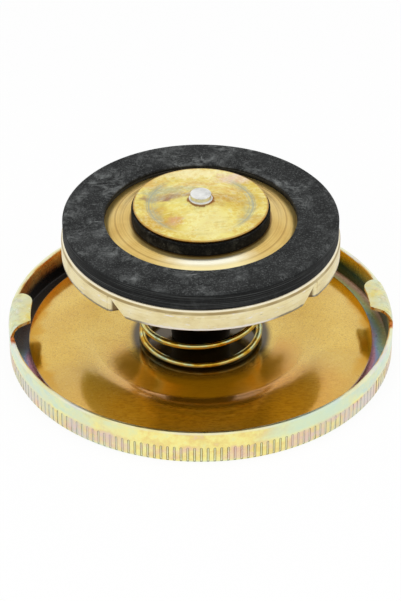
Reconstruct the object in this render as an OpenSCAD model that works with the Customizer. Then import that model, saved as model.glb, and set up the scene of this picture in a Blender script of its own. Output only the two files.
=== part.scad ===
// Pressed-steel radiator cap with a pressure valve and a vacuum valve.
// It lies on its outer face: +Z points out of the cap towards the filler neck.

/* [Shell] */
// Outside diameter of the shell
shell_d = 78; // [74:0.5:90]
// Thickness of the shell's sheet
shell_t = 0.8; // [0.6:0.05:1]
// Height of the plain rim above the outer face
rim_h = 7.3; // [6.5:0.1:9]
// Inside radius of the corner between face and rim
corner_inner_r = 0.15; // [0.1:0.05:0.5]
// Break on the two edges of the rim
rim_break = 0.2; // [0.05:0.05:0.25]
// Diameter of the flat floor of the recess in the outer face
recess_d = 18; // [14:0.5:19]
// Depth of that recess
recess_depth = 1.5; // [1.4:0.1:2.2]
// Width of the recess's sloping wall
recess_slope = 1.6; // [1:0.1:3]

/* [Grip flutes] */
// Number of flutes round the rim
flute_count = 188; // [120:4:200]
// Width of a flute at the surface
flute_w = 0.55; // [0.3:0.05:0.8]
// Depth of a flute
flute_depth = 0.2; // [0.1:0.05:0.25]
// Height of the flutes' upper ends
flute_top = 3.9; // [2.5:0.1:5]

/* [Bayonet lugs] */
// Reach of a lug along the rim from the X axis to its front end
lug_front = 5.2; // [4:0.1:7]
// Reach of a lug along the rim from the X axis to its back end
lug_back = 7.6; // [5:0.1:9]
// Slant of a lug's front end, along the rim
lug_slant = 3.6; // [0.5:0.1:4]
// Reach of a lug inward from the outside of the rim
lug_reach = 4.5; // [3.5:0.1:5]
// Outside radius of the bend over the rim
lug_bend_r = 2.2; // [1.5:0.1:2.5]
// Downward slope of a lug towards its tip, in degrees
lug_droop = 8; // [0:1:15]
// Radius of a lug's rounded corner
lug_corner_r = 2.2; // [0.5:0.1:3]
// Diameter of the relief holes at the ends of a lug
lug_relief_d = 1; // [0.6:0.1:1.6]

/* [Diaphragm] */
// Thickness of the diaphragm
diaphragm_t = 0.4; // [0.3:0.05:0.6]
// Gap between the diaphragm's edge and the shell's wall
diaphragm_gap = 3.2; // [2:0.1:5]
// Radius of the crease round the flat middle
crease_r = 21.8; // [18:0.1:23]
// Width of the rising band outside the crease
rise_w = 5.4; // [3:0.1:7]
// Height that the band rises
rise_h = 0.7; // [0.3:0.05:1.2]
// Fall from the top of the band to the diaphragm's edge
edge_drop = 0.75; // [0.2:0.05:1]

/* [Centre rivet] */
// Diameter of the rivet's shank
rivet_d = 4; // [3:0.1:5]
// Diameter of the rivet's heads
rivet_head_d = 7; // [6:0.1:8]
// Height of the rivet's heads
rivet_head_h = 1.1; // [0.8:0.1:1.2]

/* [Guide tube] */
// Outside diameter of the guide tube
guide_d = 12; // [11.4:0.1:13]
// Thickness of the guide tube's sheet
guide_t = 0.7; // [0.5:0.05:0.8]

/* [Pressure valve] */
// Travel of the pressure valve from rest to fully open
valve_travel = 10; // [6:0.5:12]
// Length of the pressure spring as fitted
spring_len = 24.6; // [22:0.2:30]
// Outside diameter of the pressure spring
spring_d = 25.2; // [24:0.2:27]
// Wire of the pressure spring
spring_wire = 1.4; // [1.1:0.1:1.6]
// Turns of the pressure spring
spring_turns = 5.5; // [4:0.5:6]
// Thickness of the sleeve's sheet
sleeve_t = 0.6; // [0.5:0.05:0.8]
// Diameter of the sleeve's upper flange
sleeve_flange_d = 29; // [25:0.5:30]
// Thickness of the cup's sheet
cup_t = 0.6; // [0.5:0.05:0.8]
// Height of the cup over its skirt
cup_h = 4.6; // [3:0.1:6]
// Amount that the cup stands out beyond the gasket
cup_ledge = 0.35; // [0.2:0.05:2.5]
// Outside radius of the cup's shoulder
cup_corner_r = 1; // [0.9:0.1:1.2]
// Width of the four notches in the skirt at their upper ends
notch_w = 0.8; // [0.5:0.1:3]
// Slant of a notch's plain side, along the skirt
notch_slant = 3.8; // [0:0.1:5]
// Turn of the notches about the axis, in degrees
notch_turn = 3; // [0:0.5:20]
// Sweep of the two stretches of skirt with folded ends, in degrees
side_sweep = 85; // [60:1:100]
// Outside radius of the fold at those ends
fold_r = 1.2; // [0.8:0.1:3]
// Angle of the fold, in degrees
fold_turn = 56; // [20:1:80]
// Length of the flap beyond the fold
flap_len = 1.2; // [0.5:0.1:3]

/* [Pressure gasket] */
// Outside diameter of the gasket
gasket_d = 54.8; // [52:0.2:60]
// Diameter of the gasket's hole
gasket_hole_d = 38.2; // [37.6:0.2:40]
// Thickness of the gasket
gasket_t = 3.6; // [3:0.1:4.5]
// Thickness of the gasket's foot under the retainer
gasket_foot_t = 1.4; // [1:0.1:1.6]
// Bevel on the gasket's upper outer edge
gasket_bevel = 0.35; // [0.1:0.05:0.6]

/* [Gasket retainer] */
// Thickness of the retainer's sheet
retainer_t = 0.8; // [0.6:0.05:0.9]
// Width of the retainer's rim held in the gasket
retainer_grip = 1.3; // [0.8:0.1:2]
// Diameter of the retainer's raised middle
plateau_d = 30.4; // [29.6:0.2:34]
// Height of the raised middle above the rim
plateau_h = 0.9; // [0.4:0.05:1]
// Number of air ports
port_count = 6; // [4:1:8]
// Diameter of an air port
port_d = 3; // [2:0.1:3.2]
// Radius of the circle of air ports
port_ring_r = 6.6; // [6.2:0.1:7]

/* [Vacuum valve] */
// Diameter of the vacuum valve's disc
vacuum_disc_d = 26.8; // [25:0.2:27.6]
// Thickness of the disc's sheet
vacuum_disc_t = 0.6; // [0.5:0.05:0.9]
// Diameter of the ring where the disc's middle is lowest
dish_d = 20.4; // [16:0.2:22]
// Depth of that ring below the disc's rim
dish_depth = 0.3; // [0.2:0.05:0.6]
// Height of the shallow cone from that ring up to the stem's head
cone_h = 1.5; // [0.5:0.1:2]
// Diameter of the cone's flat top
cone_top_d = 4.8; // [4.8:0.1:6]
// Amount that the seal stands out beyond the disc
seal_overhang = 0.35; // [0.2:0.05:0.8]
// Height of the seal
seal_h = 2.6; // [2.2:0.1:3.6]
// Width of the seal's land on the retainer
seal_land = 3.6; // [2:0.1:4]
// Diameter of the stem
stem_d = 3; // [2.4:0.1:3.4]
// Diameter of the stem's head
stem_head_d = 4.2; // [4:0.1:5]
// Height of the stem's head
stem_head_h = 1.4; // [0.8:0.1:1.8]
// Diameter of the collar under the head
stem_collar_d = 4.7; // [4.2:0.1:4.8]
// Height of that collar
stem_collar_h = 0.3; // [0.2:0.05:0.5]
// Length of the vacuum spring as fitted
vacuum_spring_len = 7.4; // [6:0.2:9]
// Wire of the vacuum spring
vacuum_wire = 0.5; // [0.4:0.05:0.6]
// Turns of the vacuum spring
vacuum_turns = 6; // [4:0.5:7]
// Thickness of the washer under the vacuum spring
washer_t = 0.8; // [0.5:0.1:1.2]
// Diameter of that washer
washer_d = 6.8; // [6.2:0.1:7.4]

/* [Hidden] */
$fn = 96;

// Clearances between pieces
hole_gap = 0.05;
seat_gap = 0.05;
spring_seat_gap = 0.1;
slide_gap = 0.4;
sleeve_gap = 0.9;
flange_gap = 0.8;
bottom_gap = 0.65;
stem_gap = 0.1;
groove_gap = 0.1;
slope_gap = 0.2;
coil_gap = 0.6;

// Small fixed sizes of the pieces that don't show
drawn_bend_r = 0.35;
stem_end_lip = 0.7;
stem_end_h = 0.9;
stem_break = 0.25;
rivet_crown_r = 1;
rivet_crown_h = 0.65;

// Lugs: thinning by the bend, length rooted in the rim, overlap with the reliefs at their ends
lug_inset = 0.06;
lug_root = 0.8;
relief_overlap = 0.15;

// Notches: distance below the shoulder. Folded ends: slit above, thinning by the fold, length of the root
notch_drop = 0.1;
fold_slit = 0.2;
fold_inset = 0.06;
fold_root = 0.5;

// How far a cutter runs past what it cuts
cut_past = 1;

// Segments of a rounded stretch in an outline
bend_steps = 6;
corner_steps = 4;
band_steps = 10;

// Radii from the axis
shell_r = shell_d / 2;
shell_inner_r = shell_r - shell_t;
corner_r = corner_inner_r + shell_t;
recess_r = recess_d / 2;
diaphragm_r = shell_inner_r - diaphragm_gap;
rivet_r = rivet_d / 2;
rivet_hole_r = rivet_r + hole_gap;
spring_mean_r = (spring_d - spring_wire) / 2;
guide_r = guide_d / 2;
sleeve_r = spring_d / 2 - spring_wire - sleeve_gap;
sleeve_inner_r = sleeve_r - sleeve_t;
guide_flange_r = sleeve_inner_r - flange_gap;
gasket_r = gasket_d / 2;
gasket_hole_r = gasket_hole_d / 2;
cup_r = gasket_r + cup_ledge;
retainer_r = gasket_hole_r + retainer_grip;
plateau_r = plateau_d / 2;
vacuum_disc_r = vacuum_disc_d / 2;
dish_r = dish_d / 2;
cone_top_r = cone_top_d / 2;
seal_r = vacuum_disc_r + seal_overhang;
stem_r = stem_d / 2;
stem_hole_r = stem_r + hole_gap;
stem_end_r = stem_r + stem_end_lip;
vacuum_spring_r = stem_r + coil_gap + vacuum_wire / 2;

// Heights above the outer face
boss_z = recess_depth + shell_t;
disc_z = boss_z + diaphragm_t;
lip_z = disc_z + valve_travel + bottom_gap;
guide_flange_z = lip_z + sleeve_t + seat_gap;
guide_top_z = guide_flange_z + guide_t;
cup_seat_z = disc_z + spring_len;
cup_top_z = cup_seat_z + cup_t;
skirt_z = cup_top_z - cup_h;
notch_top_z = cup_top_z - cup_corner_r - notch_drop;
gasket_top_z = cup_top_z + gasket_t;
retainer_z = cup_top_z + gasket_foot_t;
plateau_z = retainer_z + plateau_h;
plateau_top_z = plateau_z + retainer_t;
seal_z = plateau_top_z + seat_gap;
vacuum_disc_z = seal_z + seal_h;
dish_z = vacuum_disc_z - dish_depth;
cone_z = dish_z + cone_h;
cone_top_z = cone_z + vacuum_disc_t;
washer_z = plateau_z - vacuum_spring_len - washer_t;

// Points along an arc about a centre
function arc(centre, r, from, to, steps = bend_steps) = [
    for (i = [0:steps])
        let (a = from + (to - from) * i / steps)
        [centre[0] + r * cos(a), centre[1] + r * sin(a)]
];

function reversed(points) = [for (i = [len(points) - 1:-1:0]) points[i]];

function raised(points, dz) = [for (p = points) [p[0], p[1] + dz]];

// A sheet of even thickness whose underside follows the points outward
module pressed_ring(underside, t) {
    rotate_extrude()
        polygon(concat(underside, reversed(raised(underside, t))));
}

// Rise of a coil in turns: flat for a while at the end, then even
function eased(u, flat, blend) =
    u < flat - blend ? 0 :
    u > flat + blend ? u - flat :
    pow(u - flat + blend, 2) / (4 * blend);

// A coil spring with flat end turns, from z = 0 to z = length
module coil_spring(length, mean_r, wire, turns, start, steps, sides) {
    flat = 0.6;
    blend = 0.2;
    span = turns - 2 * flat;
    pitch = (length - wire) / span;
    rings = round(turns * steps);
    points = [
        for (i = [0:rings])
            let (
                u = turns * i / rings,
                a = start + 360 * u,
                rise = u < turns / 2 ? eased(u, flat, blend) : span - eased(turns - u, flat, blend),
                z = wire / 2 + pitch * rise
            )
            for (k = [0:sides - 1])
                let (
                    b = 360 * k / sides,
                    r = mean_r + wire / 2 * cos(b)
                )
                [r * cos(a), r * sin(a), z + wire / 2 * sin(b)]
    ];
    walls = [
        for (i = [0:rings - 1], k = [0:sides - 1])
            let (
                near = i * sides,
                far = near + sides,
                next = (k + 1) % sides
            )
            each [
                [near + k, near + next, far + k],
                [near + next, far + next, far + k]
            ]
    ];
    first_end = [for (k = [sides - 1:-1:0]) k];
    last_end = [for (k = [0:sides - 1]) rings * sides + k];
    polyhedron(points, concat(walls, [first_end, last_end]));
}

// Section of the shell: face, recess, corner and rim
module shell_section() {
    slope_angle = atan2(recess_depth, recess_slope);
    inset = shell_t * tan(slope_angle / 2);
    foot_r = recess_r + recess_slope;
    corner = [shell_r - corner_r, corner_r];
    polygon(concat(
        [[rivet_hole_r, recess_depth], [recess_r, recess_depth], [foot_r, 0]],
        arc(corner, corner_r, -90, 0, corner_steps),
        [
            [shell_r, rim_h - rim_break], [shell_r - rim_break, rim_h],
            [shell_inner_r + rim_break, rim_h], [shell_inner_r, rim_h - rim_break]
        ],
        arc(corner, corner_inner_r, 0, -90, corner_steps),
        [[foot_r + inset, shell_t], [recess_r + inset, boss_z], [rivet_hole_r, boss_z]]
    ));
}

// Section of a lug: the rim's sheet bent inward and slightly down
module lug_section() {
    outer_r = shell_r - lug_inset;
    inner_r = shell_inner_r + lug_inset;
    bend = [outer_r - lug_bend_r, rim_h - rim_break];
    turn = 90 + lug_droop;
    tip = lug_reach - lug_inset - lug_bend_r;
    slide = [cos(turn + 90), sin(turn + 90)] * tip / cos(lug_droop);
    outer = arc(bend, lug_bend_r, 0, turn);
    inner = arc(bend, inner_r - bend[0], turn, 0);
    foot_z = rim_h - lug_root;
    polygon(concat(
        [[outer_r, foot_z]], outer,
        [outer[bend_steps] + slide, inner[0] + slide], inner,
        [[inner_r, foot_z]]
    ));
}

// Outline of a lug seen from above: a slanted front end and a rounded corner at the back of its tip
module lug_plan() {
    tip_r = shell_r - lug_reach;
    outer_x = shell_r + cut_past;
    slant = lug_slant / lug_reach;
    corner_y = lug_back - lug_corner_r;
    corner_turn = asin(corner_y / (tip_r + lug_corner_r));
    corner_x = (tip_r + lug_corner_r) * cos(corner_turn);
    polygon(concat(
        [
            [outer_x, -lug_front], [shell_r, -lug_front],
            [tip_r - cut_past, lug_slant + slant * cut_past - lug_front],
            [cos(corner_turn), sin(corner_turn)] * (tip_r - cut_past)
        ],
        arc([corner_x, corner_y], lug_corner_r, 180 + corner_turn, 90),
        [[outer_x, lug_back]]
    ));
}

module lug() {
    sweep = 2 * asin((lug_front + lug_back) / shell_inner_r);
    intersection() {
        rotate([0, 0, -sweep / 2]) rotate_extrude(angle = sweep) lug_section();
        linear_extrude(rim_h + 2 * lug_bend_r) lug_plan();
    }
}

// Cutter for the round relief at an end of a lug
module relief_cutter(turn) {
    rotate([0, 0, turn])
        translate([shell_inner_r - cut_past, 0, rim_h])
            rotate([0, 90, 0])
                cylinder(d = lug_relief_d, h = shell_t + 2 * cut_past);
}

// Cutter for one flute, which starts where the corner ends
module flute_cutter() {
    cutter_r = (pow(flute_w / 2, 2) + pow(flute_depth, 2)) / (2 * flute_depth);
    foot_z = corner_r + hole_gap;
    translate([shell_r - flute_depth + cutter_r, 0, foot_z])
        cylinder(r = cutter_r, h = flute_top - foot_z, $fn = 24);
}

module cap_shell() {
    relief_off = lug_relief_d / 2 - relief_overlap;
    front_turn = -asin((lug_front + relief_off) / shell_r);
    back_turn = asin((lug_back + relief_off) / shell_r);
    color([0.87, 0.82, 0.52])
    union() {
        difference() {
            rotate_extrude() shell_section();
            for (i = [0:flute_count - 1])
                rotate([0, 0, 360 * i / flute_count]) flute_cutter();
            for (turn = [front_turn, back_turn, 180 - front_turn, 180 - back_turn])
                relief_cutter(turn);
        }
        lug();
        mirror([1, 0, 0]) lug();
    }
}

module diaphragm() {
    rise_end = crease_r + rise_w;
    fall_w = diaphragm_r - rise_end;
    band = [for (i = [0:band_steps]) let (u = i / band_steps)
        [crease_r + rise_w * u, boss_z + rise_h * (1 - pow(1 - u, 2))]];
    fall = [for (i = [1:band_steps]) let (u = i / band_steps)
        [rise_end + fall_w * u, boss_z + rise_h - edge_drop * pow(u, 2)]];
    color([0.78, 0.6, 0.25])
        pressed_ring(concat([[rivet_hole_r, boss_z]], band, fall), diaphragm_t);
}

module guide_tube() {
    bend_r = guide_t + drawn_bend_r;
    low_bend = [guide_r - bend_r, disc_z + bend_r];
    flare = [guide_r + bend_r - guide_t, guide_top_z - bend_r];
    color([0.21, 0.17, 0.11])
        rotate_extrude()
            polygon(concat(
                [[rivet_hole_r, disc_z]],
                arc(low_bend, bend_r, -90, 0),
                arc(flare, bend_r - guide_t, 180, 90),
                [[guide_flange_r, guide_flange_z], [guide_flange_r, guide_top_z]],
                arc(flare, bend_r, 90, 180),
                arc(low_bend, bend_r - guide_t, 0, -90),
                [[rivet_hole_r, disc_z + guide_t]]
            ));
}

module centre_rivet() {
    head_r = rivet_head_d / 2;
    crown_r = head_r - rivet_crown_r;
    low_z = recess_depth - rivet_head_h;
    foot_z = disc_z + guide_t;
    top_z = foot_z + rivet_head_h;
    color([0.75, 0.75, 0.73])
        rotate_extrude()
            polygon([
                [0, low_z], [crown_r, low_z], [head_r, low_z + rivet_crown_h],
                [head_r, recess_depth], [rivet_r, recess_depth],
                [rivet_r, foot_z], [head_r, foot_z],
                [head_r, top_z - rivet_crown_h], [crown_r, top_z], [0, top_z]
            ]);
}

module pressure_spring() {
    color([0.76, 0.58, 0.15])
        translate([0, 0, disc_z + spring_seat_gap])
            coil_spring(spring_len - 2 * spring_seat_gap, spring_mean_r, spring_wire,
                spring_turns, 90, 36, 12);
}

// Section of the cup: plate, rounded shoulder and skirt
module cup_section() {
    shoulder = [cup_r - cup_corner_r, cup_top_z - cup_corner_r];
    hole_r = sleeve_r + hole_gap;
    polygon(concat(
        [[hole_r, cup_seat_z]],
        arc(shoulder, cup_corner_r - cup_t, 90, 0),
        [[cup_r - cup_t, skirt_z], [cup_r, skirt_z]],
        arc(shoulder, cup_corner_r, 0, 90),
        [[hole_r, cup_top_z]]
    ));
}

// Outline of a folded end seen from above, on the X axis: its root in the skirt, the fold and a flap
module fold_plan() {
    centre = [cup_r - fold_r, 0];
    outer_r = fold_r - fold_inset;
    inner_r = fold_r - cup_t + fold_inset;
    slide = [-sin(fold_turn), -cos(fold_turn)] * flap_len;
    outer = arc(centre, outer_r, 0, -fold_turn);
    inner = arc(centre, inner_r, -fold_turn, 0);
    polygon(concat(
        [[centre[0] + outer_r, fold_root]], outer,
        [outer[bend_steps] + slide, inner[0] + slide], inner,
        [[centre[0] + inner_r, fold_root]]
    ));
}

module folded_end() {
    translate([0, 0, skirt_z + fold_inset])
        linear_extrude(notch_top_z - fold_slit - skirt_z - fold_inset)
            fold_plan();
}

// Cutter for one notch, upright at the fold on the X axis and slanted at its plain side
module notch_cutter() {
    low_z = skirt_z - cut_past;
    slant = notch_slant / (notch_top_z - skirt_z);
    translate([cup_r - cup_t - cut_past, 0, 0])
        rotate([90, 0, 90])
            linear_extrude(cup_t + 2 * cut_past)
                polygon([
                    [0, low_z], [0, notch_top_z], [-notch_w, notch_top_z],
                    [-notch_w - slant * (notch_top_z - low_z), low_z]
                ]);
}

// Places a notch's children at both ends of the two stretches with folded ends
module at_notches() {
    for (turn = [0, 180], side = [0, 1])
        rotate([0, 0, notch_turn + turn])
            mirror([0, side, 0])
                rotate([0, 0, -side_sweep / 2])
                    children();
}

module valve_cup() {
    color([0.9, 0.85, 0.68])
    union() {
        difference() {
            rotate_extrude() cup_section();
            at_notches() notch_cutter();
        }
        at_notches() folded_end();
    }
}

module pressure_gasket() {
    groove_r = retainer_r + groove_gap;
    color([0.2, 0.2, 0.21])
        rotate_extrude()
            polygon([
                [gasket_hole_r, cup_top_z], [gasket_r, cup_top_z],
                [gasket_r, gasket_top_z - gasket_bevel],
                [gasket_r - gasket_bevel, gasket_top_z],
                [gasket_hole_r, gasket_top_z],
                [gasket_hole_r, retainer_z + retainer_t],
                [groove_r, retainer_z + retainer_t],
                [groove_r, retainer_z], [gasket_hole_r, retainer_z]
            ]);
}

module gasket_retainer() {
    slope_w = gasket_hole_r - slope_gap - plateau_r;
    slope = [for (i = [0:bend_steps]) let (u = i / bend_steps)
        [plateau_r + slope_w * u, plateau_z - plateau_h * pow(u, 2)]];
    color([0.86, 0.72, 0.42])
        difference() {
            pressed_ring(
                concat([[stem_r + stem_gap, plateau_z]], slope, [[retainer_r, retainer_z]]),
                retainer_t
            );
            for (i = [0:port_count - 1])
                rotate([0, 0, 360 * i / port_count])
                    translate([port_ring_r, 0, plateau_z - cut_past])
                        cylinder(d = port_d, h = retainer_t + 2 * cut_past, $fn = 32);
        }
}

module valve_sleeve() {
    bend_r = sleeve_t + drawn_bend_r;
    flange_r = sleeve_flange_d / 2;
    flange_z = plateau_z - sleeve_t;
    lip_r = guide_r + slide_gap;
    low_bend = [sleeve_r - bend_r, lip_z + bend_r];
    top_bend = [sleeve_r + bend_r - sleeve_t, plateau_z - bend_r];
    color([0.21, 0.17, 0.11])
        rotate_extrude()
            polygon(concat(
                [[lip_r, lip_z]],
                arc(low_bend, bend_r, -90, 0),
                arc(top_bend, bend_r - sleeve_t, 180, 90),
                [[flange_r, flange_z], [flange_r, plateau_z]],
                arc(top_bend, bend_r, 90, 180),
                arc(low_bend, bend_r - sleeve_t, 0, -90),
                [[lip_r, lip_z + sleeve_t]]
            ));
}

// Underside of the vacuum valve's disc, from the stem outward
function disc_underside() = [
    [stem_hole_r, cone_z], [cone_top_r, cone_z], [dish_r, dish_z],
    [dish_r + 2 * dish_depth, vacuum_disc_z], [vacuum_disc_r, vacuum_disc_z]
];

module vacuum_disc() {
    color([0.83, 0.75, 0.45])
        pressed_ring(disc_underside(), vacuum_disc_t);
}

module vacuum_seal() {
    pocket_r = seal_r - seal_land;
    pocket_z = seal_z + seal_h / 4;
    color([0.12, 0.12, 0.12])
        rotate_extrude()
            polygon(concat(
                [
                    [stem_hole_r, pocket_z], [pocket_r, pocket_z],
                    [pocket_r, seal_z], [seal_r, seal_z], [seal_r, vacuum_disc_z]
                ],
                reversed(disc_underside())
            ));
}

module vacuum_stem() {
    head_r = stem_head_d / 2;
    collar_r = stem_collar_d / 2;
    collar_z = cone_top_z + stem_collar_h;
    edge = stem_break;
    end_z = washer_z - stem_end_h;
    top_z = cone_top_z + stem_head_h;
    color([0.8, 0.81, 0.78])
        rotate_extrude()
            polygon([
                [0, end_z], [stem_end_r - edge, end_z], [stem_end_r, end_z + edge],
                [stem_end_r, washer_z], [stem_r, washer_z], [stem_r, cone_top_z],
                [collar_r, cone_top_z], [collar_r, collar_z], [head_r, collar_z],
                [head_r, top_z - edge], [head_r - edge, top_z], [0, top_z]
            ]);
}

module vacuum_spring() {
    color([0.21, 0.17, 0.11])
        translate([0, 0, washer_z + washer_t + spring_seat_gap])
            coil_spring(vacuum_spring_len - 2 * spring_seat_gap, vacuum_spring_r,
                vacuum_wire, vacuum_turns, 0, 24, 8);
}

module spring_washer() {
    color([0.21, 0.17, 0.11])
        translate([0, 0, washer_z])
            difference() {
                cylinder(d = washer_d, h = washer_t);
                translate([0, 0, -cut_past])
                    cylinder(r = stem_hole_r, h = washer_t + 2 * cut_past);
            }
}

cap_shell();
diaphragm();
guide_tube();
centre_rivet();
pressure_spring();
valve_cup();
pressure_gasket();
gasket_retainer();
valve_sleeve();
vacuum_disc();
vacuum_seal();
vacuum_stem();
vacuum_spring();
spring_washer();
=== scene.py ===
import math

import bmesh
import bpy
from mathutils import Matrix, Vector


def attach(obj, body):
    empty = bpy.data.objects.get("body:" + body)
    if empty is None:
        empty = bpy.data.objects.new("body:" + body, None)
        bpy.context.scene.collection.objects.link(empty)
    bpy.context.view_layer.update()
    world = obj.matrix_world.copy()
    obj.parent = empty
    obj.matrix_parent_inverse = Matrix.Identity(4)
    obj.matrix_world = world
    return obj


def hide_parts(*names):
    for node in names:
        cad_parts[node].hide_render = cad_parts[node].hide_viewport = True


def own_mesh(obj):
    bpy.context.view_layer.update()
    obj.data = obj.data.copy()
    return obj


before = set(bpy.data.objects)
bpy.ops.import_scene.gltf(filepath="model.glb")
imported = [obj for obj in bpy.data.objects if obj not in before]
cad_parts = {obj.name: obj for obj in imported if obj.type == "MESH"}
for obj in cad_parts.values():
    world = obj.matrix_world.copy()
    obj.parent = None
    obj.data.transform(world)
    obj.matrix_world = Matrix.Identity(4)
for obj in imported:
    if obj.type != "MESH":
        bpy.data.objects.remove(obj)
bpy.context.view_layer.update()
scene = bpy.context.scene
scene.view_settings.view_transform = "Standard"

MM = 0.001
TURN = 2 * math.pi
TINY = 1e-6

# Sizes of the shell and its lugs, in millimetres like all sizes below
SHELL_R = 39.0
SHELL_T = 0.8
SHELL_IN = SHELL_R - SHELL_T
RIM_H = 7.3
RIM_BREAK = 0.2
CORNER_IN = 0.15
CORNER_R = CORNER_IN + SHELL_T
RECESS_R = 9.0
RECESS_DEPTH = 1.5
RECESS_SLOPE = 1.6
HOLLOW_BEND = 0.5
CREST_BEND = 0.9
BOSS_Z = 2.3
HOLE_R = 2.05
FLUTES = 188
FLUTE_HALF = 0.275
FLUTE_DEPTH = 0.2
FLUTE_TOP = 3.9
FLUTE_END = 0.45
LUG_FRONT = 5.2
LUG_BACK = 7.6
LUG_SLANT = 3.6
LUG_REACH = 4.5
LUG_BEND_R = 2.2
LUG_DROOP = 8
LUG_CORNER_R = 2.2
LUG_INSET = 0.06
LUG_ROOT = 0.8
LUG_EDGE = 0.12
RELIEF_R = 0.5
RELIEF_OFF = 0.35
RELIEF_DROP = 0.7
RELIEF_FADE = 0.45

# Diaphragm, guide tube, rivet and springs
DISC_Z = 2.7
DISC_T = 0.4
DISC_R = 35.0
CREASE_R = 21.8
RISE_W = 5.4
RISE_H = 0.7
EDGE_DROP = 0.75
TUBE_R = 6.0
TUBE_T = 0.7
TUBE_BEND = 1.05
TUBE_TOP = 14.7
MOUTH_R = 8.9
RIVET_R = 2.0
RIVET_HEAD_R = 3.5
RIVET_HEAD_H = 1.1
RIVET_SIDE_H = 0.45
RIVET_TOP_R = 2.5
SPRING_GAP = 0.1
SPRING_LEN = 24.4
SPRING_R = 11.9
SPRING_WIRE = 1.4
SPRING_TURNS = 5.5
LIGHT_LEN = 7.2
LIGHT_R = 2.35
LIGHT_WIRE = 0.5
LIGHT_TURNS = 6
FLAT_TURNS = 0.6
EASE_TURNS = 0.2
CUT_SHRINK = 0.86

# Pressure valve
CUP_R = 27.75
CUP_T = 0.6
CUP_SEAT = 27.3
CUP_TOP = 27.9
CUP_CORNER = 1.0
CUP_MID_R = 18.0
NOTCH_W = 0.8
NOTCH_TOP = CUP_TOP - CUP_CORNER - 0.1
NOTCH_SLANT = 3.8
NOTCH_TURN = math.radians(3)
SIDE_SWEEP = math.radians(85)
FOLD_R = 1.2
FOLD_TURN = 56
FOLD_EDGE = 0.09
FLAP_LEN = 1.2
SKIRT_Z = 23.3
SLEEVE_R = 10.3
SLEEVE_T = 0.6
SLEEVE_BEND = 0.95
SLEEVE_Z = 13.35
SLEEVE_LIP_R = 6.4
SLEEVE_FLANGE_R = 14.5
GASKET_R = 27.4
GASKET_HOLE = 19.1
GASKET_TOP = 31.5
GASKET_BREAK = 0.35
RETAINER_R = 20.4
RETAINER_Z = 29.3
RETAINER_T = 0.8
RETAINER_HOLE = 1.6
PLATEAU_R = 15.2
PLATEAU_Z = 30.2
PLATEAU_H = 0.9
PLATEAU_SLOPE = 3.7
AIR_HOLES = 6
AIR_HOLE_R = 1.5
AIR_HOLE_OUT = 6.6

# Vacuum valve
VACUUM_R = 13.4
VACUUM_Z = 33.65
VACUUM_T = 0.6
DISH_R = 10.2
DISH_DEPTH = 0.3
CONE_H = 1.5
CONE_R = 2.4
SEAL_R = 13.75
SEAL_Z = 31.05
POCKET_R = 10.15
POCKET_H = 0.65
STEM_R = 1.5
STEM_HOLE = 1.55
STEM_HEAD_R = 2.1
STEM_HEAD_H = 1.4
STEM_FOOT_R = 2.2
STEM_FOOT_H = 0.9
COLLAR_R = 2.35
COLLAR_H = 0.3
WASHER_Z = 22.0
WASHER_R = 3.4
WASHER_T = 0.8


# Meshes

def new_piece(name, points, faces, sharp):
    """An object from points in millimetres, smooth apart from edges over the sharp angle."""
    mesh = bpy.data.meshes.new(name)
    mesh.from_pydata([tuple(c * MM for c in p) for p in points], [], faces)
    work = bmesh.new()
    work.from_mesh(mesh)
    bmesh.ops.recalc_face_normals(work, faces=work.faces)
    work.to_mesh(mesh)
    work.free()
    for face in mesh.polygons:
        face.use_smooth = True
    mesh.set_sharp_from_angle(angle=math.radians(sharp))
    piece = bpy.data.objects.new(name, mesh)
    scene.collection.objects.link(piece)
    return piece


def rounded(corners, steps=5):
    """Outline with rounded corners: each corner is (r, z), or (r, z, radius) if it is rounded."""
    edge_share = 0.45
    outline = []
    for i, corner in enumerate(corners):
        here = Vector(corner[:2])
        if len(corner) == 2:
            outline.append(tuple(here))
            continue
        back = Vector(corners[i - 1][:2]) - here
        ahead = Vector(corners[(i + 1) % len(corners)][:2]) - here
        half = back.angle(ahead) / 2
        reach = min(corner[2] / math.tan(half), edge_share * min(back.length, ahead.length))
        radius = reach * math.tan(half)
        middle = (back.normalized() + ahead.normalized()).normalized()
        centre = here + middle * (radius / math.sin(half))
        start = here + back.normalized() * reach - centre
        end = here + ahead.normalized() * reach - centre
        sweep = start.angle_signed(end)
        for k in range(steps + 1):
            turned = start.copy()
            turned.rotate(Matrix.Rotation(-sweep * k / steps, 2))
            outline.append(tuple(centre + turned))
    return outline


def arc(centre, radius, start, end, steps=8):
    """Outline points along an arc, with its angles in degrees."""
    angles = [math.radians(start + (end - start) * k / steps) for k in range(steps + 1)]
    return [(centre[0] + radius * math.cos(a), centre[1] + radius * math.sin(a)) for a in angles]


def lathe(name, outline, segments, sharp):
    """A closed outline turned about the axis. Points on the axis become poles."""
    points, faces, rings = [], [], []
    for r, z in outline:
        if r < TINY:
            rings.append([len(points)] * segments)
            points.append((0, 0, z))
        else:
            rings.append(list(range(len(points), len(points) + segments)))
            for k in range(segments):
                a = TURN * k / segments
                points.append((r * math.cos(a), r * math.sin(a), z))
    for lower, upper in zip(rings, rings[1:] + rings[:1]):
        for k in range(segments):
            n = (k + 1) % segments
            loop = list(dict.fromkeys([lower[k], lower[n], upper[n], upper[k]]))
            if len(loop) > 2:
                faces.append(loop)
    return new_piece(name, points, faces, sharp)


def prism(name, one_end, other_end):
    """A piece between two rings of points that match."""
    count = len(one_end)
    faces = [tuple(range(count)), tuple(range(count, 2 * count))]
    for i in range(count):
        n = (i + 1) % count
        faces.append((i, n, count + n, count + i))
    return new_piece(name, one_end + other_end, faces, 40)


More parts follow.
